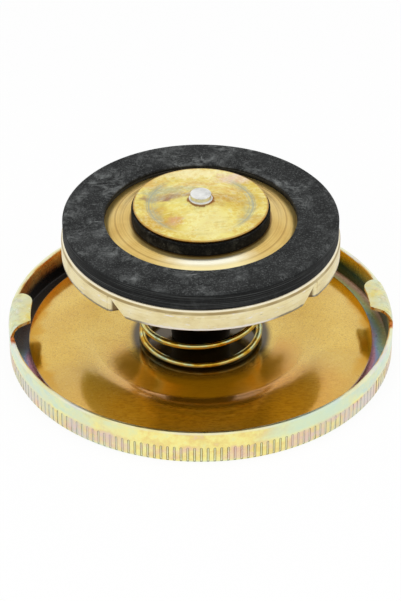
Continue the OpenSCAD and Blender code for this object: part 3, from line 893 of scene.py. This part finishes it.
def gold_lacquer():
    """Lacquer on the diaphragm, with painted reflections that make it browner at the front and orange beside
    the spring and along its edge, and a painted shadow round the spring's foot.
    """
    f = Finish("gold_lacquer", Coat_Roughness=0.1)
    f.colour = f.ramp(f.noise(9, 4, 0.55), [
        (0.3, (214, 170, 54)), (0.55, (224, 184, 68)), (0.75, (232, 196, 86))])
    grain = f.step(f.noise(0.32, 2, 0.7, shift=2), 0.5, 0.68)
    f.tint(grain, (160, 104, 14), 0.4)
    pale = f.step(f.noise(0.32, 2, 0.7, shift=31), 0.54, 0.7)
    f.tint(pale, (244, 218, 130), 0.4)
    pit = f.step(f.noise(0.7, 1, 0.5, shift=9), 0.79, 0.83)
    f.tint(pit, (50, 32, 10), 0.85)
    # Painted reflection: a deeper orange band along the disc's turned-down edge, at the back and the sides
    edge = f.plus(f.radius, f.scaled(f.noise(3.4, 3, 0.6, shift=12), 5.0, -2.5))
    edge = f.times(f.step(edge, 32.0, 34.2), f.step(f.y, -21.0, -11.0))
    f.tint(edge, (214, 156, 6), 0.8)
    # Painted reflection of the dark valve, browner at the front, with darker streaks in it
    front = f.spot(1.0, -23.0, 26.0, 14.0, 0.2, 8, 3)
    f.tint(front, (226, 148, 0), 0.85)
    reflection_streaks = f.step(f.noise(0.5, 3, 0.7, stretch=(2.4, 0.7, 1), shift=37), 0.42, 0.66)
    f.tint(f.times(front, reflection_streaks), (150, 92, 0), 0.5)
    # Painted dark reflection of the valve on the rise in front of the spring
    near = f.times(f.step(f.aside, 15.0, 6.0), f.step(f.y, -8.0, -14.0))
    dusk = f.between(f.radius, 21.6, 22.4, 24.5, 27.5)
    f.tint(f.times(dusk, near), (120, 72, 0), 0.6)
    # Painted orange reflection on the flat middle at the front and sides of the spring
    wide = f.times(f.step(f.aside, 22.0, 15.0), f.step(f.y, 0.0, -7.0))
    glow = f.times(f.between(f.radius, 14.5, 16.5, 21.2, 21.8), wide)
    f.tint(glow, (250, 172, 10), 0.6)
    # Painted shadow round the foot of the spring
    spring_shadow = f.step(f.radius, 14.9, 13.2)
    f.tint(spring_shadow, (26, 15, 4), 0.92)
    rim = f.step(f.radius, 34.75, 34.95)
    f.tint(rim, (150, 140, 110), 0.7)
    rough = f.scaled(f.noise(3, 3, 0.6, shift=4), 0.08, 0.105)
    peel = f.noise(0.5, 2, 0.5, shift=6)
    coat = f.scaled(f.most(front, edge), -0.65, 0.9)
    lobes = f.times(f.step(f.radius, 22.0, 26.0), f.step(f.y, -6.0, -14.0), f.step(f.aside, 7.0, 15.0))
    metal = f.scaled(f.most(lobes, f.scaled(front, 0.3), f.scaled(glow, 0.7)), -0.34, 0.78)
    return f.done(rough, f.bump(peel, 0.02, 0.5), Metallic=metal, Coat_Weight=coat)


def zinc_wire():
    """Yellow zinc on the large spring."""
    f = Finish("zinc_wire", Metallic=1.0)
    f.colour = f.ramp(f.round_noise(12, 1.5, 3), [
        (0.28, (158, 112, 30)), (0.42, (206, 164, 50)), (0.54, (216, 206, 132)),
        (0.64, (178, 192, 160)), (0.74, (142, 146, 96)), (0.84, (190, 150, 60))])
    rough = f.scaled(f.noise(1, 3, 0.6), 0.14, 0.1)
    drawn = f.noise(0.5, 2, 0.5, stretch=(1, 1, 0.3))
    return f.done(rough, f.bump(drawn, 0.01, 0.3))


def cream_plate():
    """Pale plating on the cup, with a worn lip that is painted pale at the front and dark at the sides, a
    brown shoulder band of painted shade under a painted highlight, and painted shade under the gasket, under
    the cup's top and inside the skirt.
    """
    f = Finish("cream_plate", Metallic=0.85)
    f.colour = f.ramp(f.round_noise(10, 2.5, 4, 0.6), [
        (0.25, (222, 203, 148)), (0.5, (238, 224, 174)), (0.8, (246, 238, 206))])
    streak = f.step(f.round_noise(16, 0.22, 3, 0.6, shift=3), 0.56, 0.72)
    f.tint(streak, (196, 168, 108), 0.4)
    # Painted shade in a tan line under the gasket
    gasket_shade = f.times(f.step(f.z, 27.3, 27.7), f.step(f.radius, 27.7, 27.3))
    f.tint(gasket_shade, (176, 146, 84), 0.6)
    grey = f.step(f.noise(0.7, 3, 0.6, shift=8), 0.66, 0.76)
    f.tint(grey, (190, 186, 190), 0.5)
    scratch = f.step(f.round_noise(5, 0.3, 3, 0.7, shift=12), 0.64, 0.7)
    f.tint(scratch, (120, 96, 60), 0.45)
    lip = f.plus(f.z, f.scaled(f.round_noise(4, 2, 3, 0.6, shift=6), 0.6, -0.3))
    lip = f.step(lip, SKIRT_Z + 0.6, SKIRT_Z + 0.4)
    # The worn lip is paler at the front as a painted highlight and dark grey at the sides as painted shade
    ends = f.mix(f.step(f.y, -24.0, -25.8), (96, 88, 82), (244, 240, 236))
    f.tint(lip, ends, 0.75)
    rub = f.step(f.round_noise(5, 0.5, 3, 0.6, shift=30), 0.6, 0.72)
    f.tint(rub, (244, 240, 244), 0.75)
    # Painted shade under the cup's top, inside its corner
    under = f.times(f.between(f.z, 26.9, 27.2, 27.32, 27.5), f.step(f.radius, 27.5, 27.3))
    f.tint(under, (30, 24, 16), 0.92)
    # Painted shade inside the skirt and on the folded flaps
    inside = f.times(f.step(f.radius, 27.5, 27.1), f.step(f.z, 26.9, 26.7))
    f.tint(inside, (104, 78, 38), 0.85)
    outer = f.step(f.radius, 27.1, 27.3)
    # Painted shade in a brown band round the shoulder, broken into blots
    blots = f.scaled(f.step(f.round_noise(12, 3, 2, shift=5), 0.3, 0.6), 0.4, 0.5)
    f.tint(f.times(f.between(f.z, 26.75, 26.98, 27.34, 27.52), blots, outer), (156, 132, 84))
    # Painted highlight along the top of the shoulder
    shoulder_highlight = f.times(f.step(f.z, 27.42, 27.56), outer)
    f.tint(shoulder_highlight, (255, 248, 226), 0.7)
    rough = f.scaled(f.noise(1.5, 3, 0.6), 0.16, 0.3)
    return f.done(rough, f.bump(f.round_noise(14, 0.2, 3), 0.012, 0.5))


def rubber(name, low, high, scuff, scuffs):
    """Black rubber with grey scuffs and painted shade on its sides."""
    f = Finish(name, Metallic=0.0, Specular_IOR_Level=0.12)
    f.colour = f.ramp(f.noise(5, 4, 0.6), [(0.3, low), (0.7, high)])
    worn = f.step(f.noise(9, 4, 0.65, shift=3), 0.42, 0.64)
    scratch = f.step(f.noise(1.1, 3, 0.6, stretch=(3, 0.4, 1), shift=5), 0.6, 0.74)
    cross = f.step(f.noise(1.0, 3, 0.6, stretch=(0.4, 2.6, 1), shift=11), 0.62, 0.76)
    cloud = f.step(f.noise(3.2, 6, 0.72, shift=21, warp=1.2), 0.42, 0.74)
    marks = f.times(f.most(scratch, cross, cloud), worn)
    f.tint(marks, scuff, scuffs)
    dust = f.step(f.noise(0.34, 3, 0.75, shift=14), 0.5, 0.72)
    f.tint(dust, scuff, 0.42 * scuffs)
    # Painted shade on the sides: they go back to the darkest tone, which also keeps the scuffs of wear on
    # the top face
    side = f.step(f.z, GASKET_TOP - 0.1, GASKET_TOP - 0.4)
    f.tint(side, low, 0.85)
    lines = f.step(f.round_noise(40, 0.16, 2, 0.6, shift=2), 0.5, 0.7)
    f.tint(f.times(lines, side), scuff, 0.3 * scuffs)
    rough = f.scaled(f.noise(1.2, 3, 0.6), 0.2, 0.58)
    return f.done(rough, f.bump(f.noise(0.3, 3, 0.6), 0.05, 0.7))


def zinc_valve():
    """Satin gold on the retainer, with pressing marks, a painted highlight across its pale front and painted
    shade round the seal's foot.
    """
    f = Finish("zinc_valve", Metallic=0.85)
    f.colour = f.ramp(f.noise(6, 4, 0.55), [
        (0.3, (210, 174, 96)), (0.5, (222, 190, 112)), (0.75, (230, 204, 134))])
    mark = f.step(f.rings(0.4, 3), 0.5, 0.66)
    band = f.between(f.radius, 15.0, 16.0, 17.2, 18.2)
    f.tint(f.times(mark, f.scaled(band, 0.4, 0.1)), (150, 110, 52))
    # Painted highlight across the front of the retainer, whitest in its core
    front = f.times(f.step(f.radius, 14.4, 15.2), f.spot(1.0, -17.5, 10.0, 5.5, 0.2, 4, 2))
    f.tint(front, (255, 242, 186), 0.8)
    highlight_core = f.times(f.step(f.radius, 17.2, 16.0), front)
    f.tint(highlight_core, (255, 253, 234), 0.85)
    # Painted shade round the seal's foot
    foot = f.step(f.radius, 14.3, 13.9)
    f.tint(foot, (120, 84, 36), 0.8)
    rough = f.scaled(f.noise(2, 3, 0.6), 0.14, 0.28)
    shoulder = f.bump(f.step(f.radius, 16.6, 14.9), 0.35)
    return f.done(rough, f.bump(f.rings(0.22, 2), 0.01, 0.4, Normal=shoulder))


def zinc_disc():
    """Yellow zinc on the vacuum disc, with coloured patches, a painted highlight in front of the stem,
    painted grey reflections at the sides of the dish and a painted reflection darkening its edge.
    """
    f = Finish("zinc_disc", Metallic=1.0, Anisotropic=0.35)
    f.colour = f.ramp(f.noise(7, 3, 0.5, shift=1.7), [
        (0.3, (204, 164, 66)), (0.44, (224, 198, 92)), (0.6, (242, 228, 128)),
        (0.8, (198, 196, 132))])
    # Painted highlight in front of the stem
    f.tint(f.spot(1.0, -7.5, 5.0, 5.5, 0.4, 4, 2), (248, 240, 172), 0.7)
    # Patches as (x, y, half width, half depth, share, colour)
    patches = (
        (-6.0, 5.2, 6.0, 1.7, 0.75, (172, 174, 140)), (-5.8, 2.4, 5.2, 1.5, 0.9, (148, 108, 100)),
        (4.6, 1.2, 3.6, 1.7, 0.8, (190, 138, 52)), (6.5, 4.4, 3.6, 1.6, 0.5, (226, 178, 92)),
        (-5.4, -5.8, 1.8, 1.5, 0.75, (214, 146, 120)), (-9.8, -4.6, 2.6, 4.6, 0.7, (206, 156, 62)),
        (7.4, 9.2, 4.4, 1.9, 0.75, (236, 204, 204)), (-1.0, 11.4, 7.5, 1.9, 0.8, (255, 246, 196)),
        (2.2, -1.0, 2.6, 1.4, 0.55, (186, 134, 58)), (9.6, -6.4, 3.0, 2.4, 0.6, (212, 164, 68)),
        (-9.0, 8.0, 3.4, 1.8, 0.6, (214, 160, 92)), (0.0, 7.0, 4.5, 1.1, 0.6, (214, 162, 76)))
    for number, (x, y, half_x, half_y, share, colour) in enumerate(patches):
        f.tint(f.spot(x, y, half_x, half_y, 0.95, 1.7, 5 + 3 * number), colour, share)
    fleck = f.ramp(f.noise(0.9, 4, 0.7, shift=50), [
        (0.34, (216, 158, 66)), (0.46, (226, 200, 100)), (0.56, (255, 246, 176)), (0.66, (214, 222, 206))])
    f.tint(f.step(f.noise(3, 3, 0.6, shift=44), 0.3, 0.6), fleck, 0.38)
    streak = f.step(f.noise(1.2, 4, 0.65, stretch=(2.6, 0.7, 1), shift=81), 0.55, 0.7)
    f.tint(streak, (196, 178, 104), 0.45)
    shine = f.step(f.noise(1.3, 4, 0.65, stretch=(2.8, 0.7, 1), shift=93), 0.56, 0.7)
    f.tint(shine, (255, 250, 196), 0.5)
    heel = f.plus(f.radius, f.scaled(f.noise(1.2, 3, 0.6, shift=70), 1.6, -0.8))
    heel = f.step(heel, 2.95, 2.55)
    f.tint(heel, (132, 64, 20), 0.85)
    # Painted grey reflection on the dish's bend at the left and right, along the turning marks and in blots
    sides = f.step(f.aside, 4.5, 9.0)
    ring = f.times(f.between(f.radius, 9.2, 10.1, 10.5, 11.3), sides, f.step(f.rings(0.35, 2), 0.4, 0.6))
    f.tint(ring, (166, 172, 152), 0.75)
    blots = f.step(f.noise(2.2, 4, 0.65, shift=40), 0.36, 0.6)
    broad = f.times(f.between(f.radius, 7.6, 9.4, 10.2, 11.6), sides, blots)
    f.tint(broad, (172, 176, 150), 0.5)
    # Painted reflection darkening the disc's edge, darkest on its outer side
    edge = f.step(f.radius, 12.95, 13.3)
    f.tint(edge, (164, 100, 40), 0.65)
    side = f.step(f.z, VACUUM_Z + 0.5, VACUUM_Z + 0.3)
    f.tint(f.times(side, edge), (82, 46, 14), 0.9)
    rough = f.scaled(f.noise(2, 3, 0.6), 0.16, 0.24)
    tangent = f.add("ShaderNodeTangent", direction_type="RADIAL", axis="Z").outputs[0]
    return f.done(rough, f.bump(f.rings(0.18, 2), 0.008, 0.4), Tangent=tangent)


def plain_metal(name, dark, light, smoothest):
    """Bare metal between two colours."""
    f = Finish(name, Metallic=1.0)
    f.colour = f.ramp(f.noise(2.5, 4, 0.6), [(0.3, dark), (0.7, light)])
    rough = f.scaled(f.noise(0.9, 3, 0.6), 0.2, smoothest)
    return f.done(rough, f.bump(f.noise(0.35, 3, 0.6), 0.02, 0.4))


def zinc_edge():
    """Cut edges of the lugs, rusty in places."""
    f = Finish("zinc_edge", Metallic=0.2)
    f.colour = f.ramp(f.noise(1.1, 3, 0.6, shift=4), [
        (0.3, (120, 54, 22)), (0.42, (236, 152, 44)), (0.55, (255, 228, 140)), (0.7, (244, 190, 170))])
    rough = f.scaled(f.noise(0.9, 3, 0.6), 0.2, 0.3)
    return f.done(rough, f.bump(f.noise(0.35, 3, 0.6), 0.02, 0.4))


# Pieces, each with its body, the node that it stands for, its slot and its material

def dress(piece, body, node, slot, *materials):
    for material in materials:
        piece.data.materials.append(material)
    if node:
        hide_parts(node)
    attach(piece, body)


def mark_inside(piece):
    """Gives the shell's floor and the inside of its wall the second material."""
    for face in piece.data.polygons:
        r, z = math.hypot(face.center.x, face.center.y) / MM, face.center.z / MM
        in_wall = DISC_R < r < SHELL_IN + 0.1 and z > SHELL_T - 0.1
        on_floor = r < SHELL_R - 1 and face.normal.z > 0.3
        if (in_wall or on_floor) and z < RIM_H - 0.25:
            face.material_index = 1


outside, inside, cut_edge = zinc_shell(), zinc_inside(), zinc_edge()
shell = shell_piece()
mark_inside(shell)
dress(shell, "shell", "cap_shell", "zinc_shell", outside, inside)
dress(lug_piece("lug_right", 1), "shell", None, "zinc_shell", outside, cut_edge)
dress(lug_piece("lug_left", -1), "shell", None, "zinc_shell", outside, cut_edge)
dress(diaphragm_piece(), "shell", "diaphragm", "gold_lacquer", gold_lacquer())
# Steel painted nearly black, as painted shade for the parts inside the large spring and under the cup
steel = plain_metal("plain_steel", (24, 19, 12), (44, 36, 23), 0.3)
dress(guide_tube_piece(), "shell", "guide_tube", "plain_steel", steel)
rivet = plain_metal("rivet_steel", (176, 174, 166), (208, 206, 198), 0.24)
dress(centre_rivet_piece(), "shell", "centre_rivet", "rivet_steel", rivet)

spring = coil(
    "pressure_coil", DISC_Z + SPRING_GAP, SPRING_LEN, SPRING_R, SPRING_WIRE, SPRING_TURNS, 90, 96, 24)
dress(spring, "spring", "pressure_spring", "zinc_wire", zinc_wire())
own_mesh(spring)

cream = cream_plate()
dress(cup_piece(), "valve", "valve_cup", "cream_plate", cream)
for number, place in enumerate(NOTCH_PLACES, 1):
    dress(fold_piece(f"cup_fold_{number}", place), "valve", None, "cream_plate", cream)
gasket = rubber("gasket_rubber", (18, 19, 19), (44, 45, 45), (132, 135, 134), 0.85)
dress(gasket_piece(), "valve", "pressure_gasket", "gasket_rubber", gasket)
dress(retainer_piece(), "valve", "gasket_retainer", "zinc_valve", zinc_valve())
dress(valve_sleeve_piece(), "valve", "valve_sleeve", "plain_steel", steel)

dress(vacuum_disc_piece(), "vacuum", "vacuum_disc", "zinc_disc", zinc_disc())
black = rubber("seal_rubber", (3, 3, 3), (9, 9, 8), (84, 82, 74), 0.75)
dress(vacuum_seal_piece(), "vacuum", "vacuum_seal", "seal_rubber", black)
pale = plain_metal("stem_aluminium", (200, 201, 198), (248, 248, 245), 0.22)
dress(vacuum_stem_piece(), "vacuum", "vacuum_stem", "stem_aluminium", pale)
light_spring = coil(
    "vacuum_coil", WASHER_Z + WASHER_T + SPRING_GAP, LIGHT_LEN, LIGHT_R, LIGHT_WIRE, LIGHT_TURNS, 0, 64, 16)
dress(light_spring, "light_spring", "vacuum_spring", "plain_steel", steel)
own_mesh(light_spring)
dress(spring_washer_piece(), "vacuum", "spring_washer", "plain_steel", steel)


# Floor, light and camera, in metres

FLOOR_GAP = 0.02 * MM
FLOOR_WHITE = 0.92
SOFT_LIGHT = 0.55
LIGHT_AIM = Vector((0, 0, 0.015))
CAMERA_AIM = Vector((0, 0, 0.01))
CAMERA_RIGHT = -0.05 * MM
CAMERA_UP = 0.86 * MM
CAMERA_DISTANCE = 0.5
ELEVATION = math.radians(34.9)
AZIMUTH = math.radians(-4)
FOCUS_PIXELS = 2467
PHOTO_HEIGHT = 601


def join_by_eye(tree, fall, look, share, out_kind):
    """Gives one shader to falling light and the other, by the share, to the eye and to reflections."""
    def larger(a, b):
        node = tree.nodes.new("ShaderNodeMath")
        node.operation = "MAXIMUM"
        tree.links.new(a, node.inputs[0])
        tree.links.new(b, node.inputs[1])
        return node.outputs[0]

    path = tree.nodes.new("ShaderNodeLightPath").outputs
    seen = larger(larger(path["Is Camera Ray"], path["Is Glossy Ray"]), path["Is Transmission Ray"])
    part = tree.nodes.new("ShaderNodeMath")
    part.operation = "MULTIPLY"
    part.inputs[1].default_value = share
    blend = tree.nodes.new("ShaderNodeMixShader")
    out = tree.nodes.new(out_kind)
    tree.links.new(seen, part.inputs[0])
    tree.links.new(part.outputs[0], blend.inputs[0])
    tree.links.new(fall.outputs[0], blend.inputs[1])
    tree.links.new(look.outputs[0], blend.inputs[2])
    tree.links.new(blend.outputs[0], out.inputs["Surface"])


def empty_tree(owner):
    owner.use_nodes = True
    owner.node_tree.nodes.clear()
    return owner.node_tree


def make_floor():
    bpy.ops.mesh.primitive_plane_add(size=6, location=(0, 0, -FLOOR_GAP))
    floor = bpy.context.object
    floor.name = "floor"
    material = bpy.data.materials.new("floor")
    tree = empty_tree(material)
    paint = tree.nodes.new("ShaderNodeBsdfDiffuse")
    paint.inputs["Color"].default_value = (0.9, 0.9, 0.9, 1)
    white = tree.nodes.new("ShaderNodeEmission")
    join_by_eye(tree, paint, white, FLOOR_WHITE, "ShaderNodeOutputMaterial")
    floor.data.materials.append(material)


def make_world():
    scene.world = bpy.data.worlds.new("studio")
    tree = empty_tree(scene.world)
    soft = tree.nodes.new("ShaderNodeBackground")
    white = tree.nodes.new("ShaderNodeBackground")
    for node in (soft, white):
        node.inputs["Color"].default_value = (1, 1, 1, 1)
    soft.inputs["Strength"].default_value = SOFT_LIGHT
    join_by_eye(tree, soft, white, 1.0, "ShaderNodeOutputWorld")


def make_light(name, place, size, power):
    """A soft box that is kept out of reflections."""
    data = bpy.data.lights.new(name, "AREA")
    data.shape = "RECTANGLE"
    data.size, data.size_y = size
    data.energy = power
    light = bpy.data.objects.new(name, data)
    scene.collection.objects.link(light)
    light.location = place
    light.visible_glossy = False
    light.rotation_euler = (LIGHT_AIM - Vector(place)).to_track_quat("-Z", "Y").to_euler()


def make_camera():
    right = Vector((math.cos(AZIMUTH), math.sin(AZIMUTH), 0))
    level = Vector((math.sin(AZIMUTH), -math.cos(AZIMUTH), 0))
    back = math.cos(ELEVATION) * level + math.sin(ELEVATION) * Vector((0, 0, 1))
    up = back.cross(right)
    data = bpy.data.cameras.new("camera")
    data.lens = FOCUS_PIXELS * data.sensor_width / PHOTO_HEIGHT
    data.clip_start = 0.01
    camera = bpy.data.objects.new("camera", data)
    scene.collection.objects.link(camera)
    place = CAMERA_AIM + back * CAMERA_DISTANCE + right * CAMERA_RIGHT + up * CAMERA_UP
    camera.matrix_world = Matrix.Translation(place) @ Matrix((right, up, back)).transposed().to_4x4()
    scene.camera = camera


make_floor()
make_world()
make_light("top_box", (0.0, -0.05, 0.5), (0.4, 0.3), 1.1)
make_light("left_box", (-0.4, -0.25, 0.3), (0.3, 0.3), 0.5)
make_light("right_box", (0.42, -0.2, 0.3), (0.3, 0.3), 0.4)
make_camera()
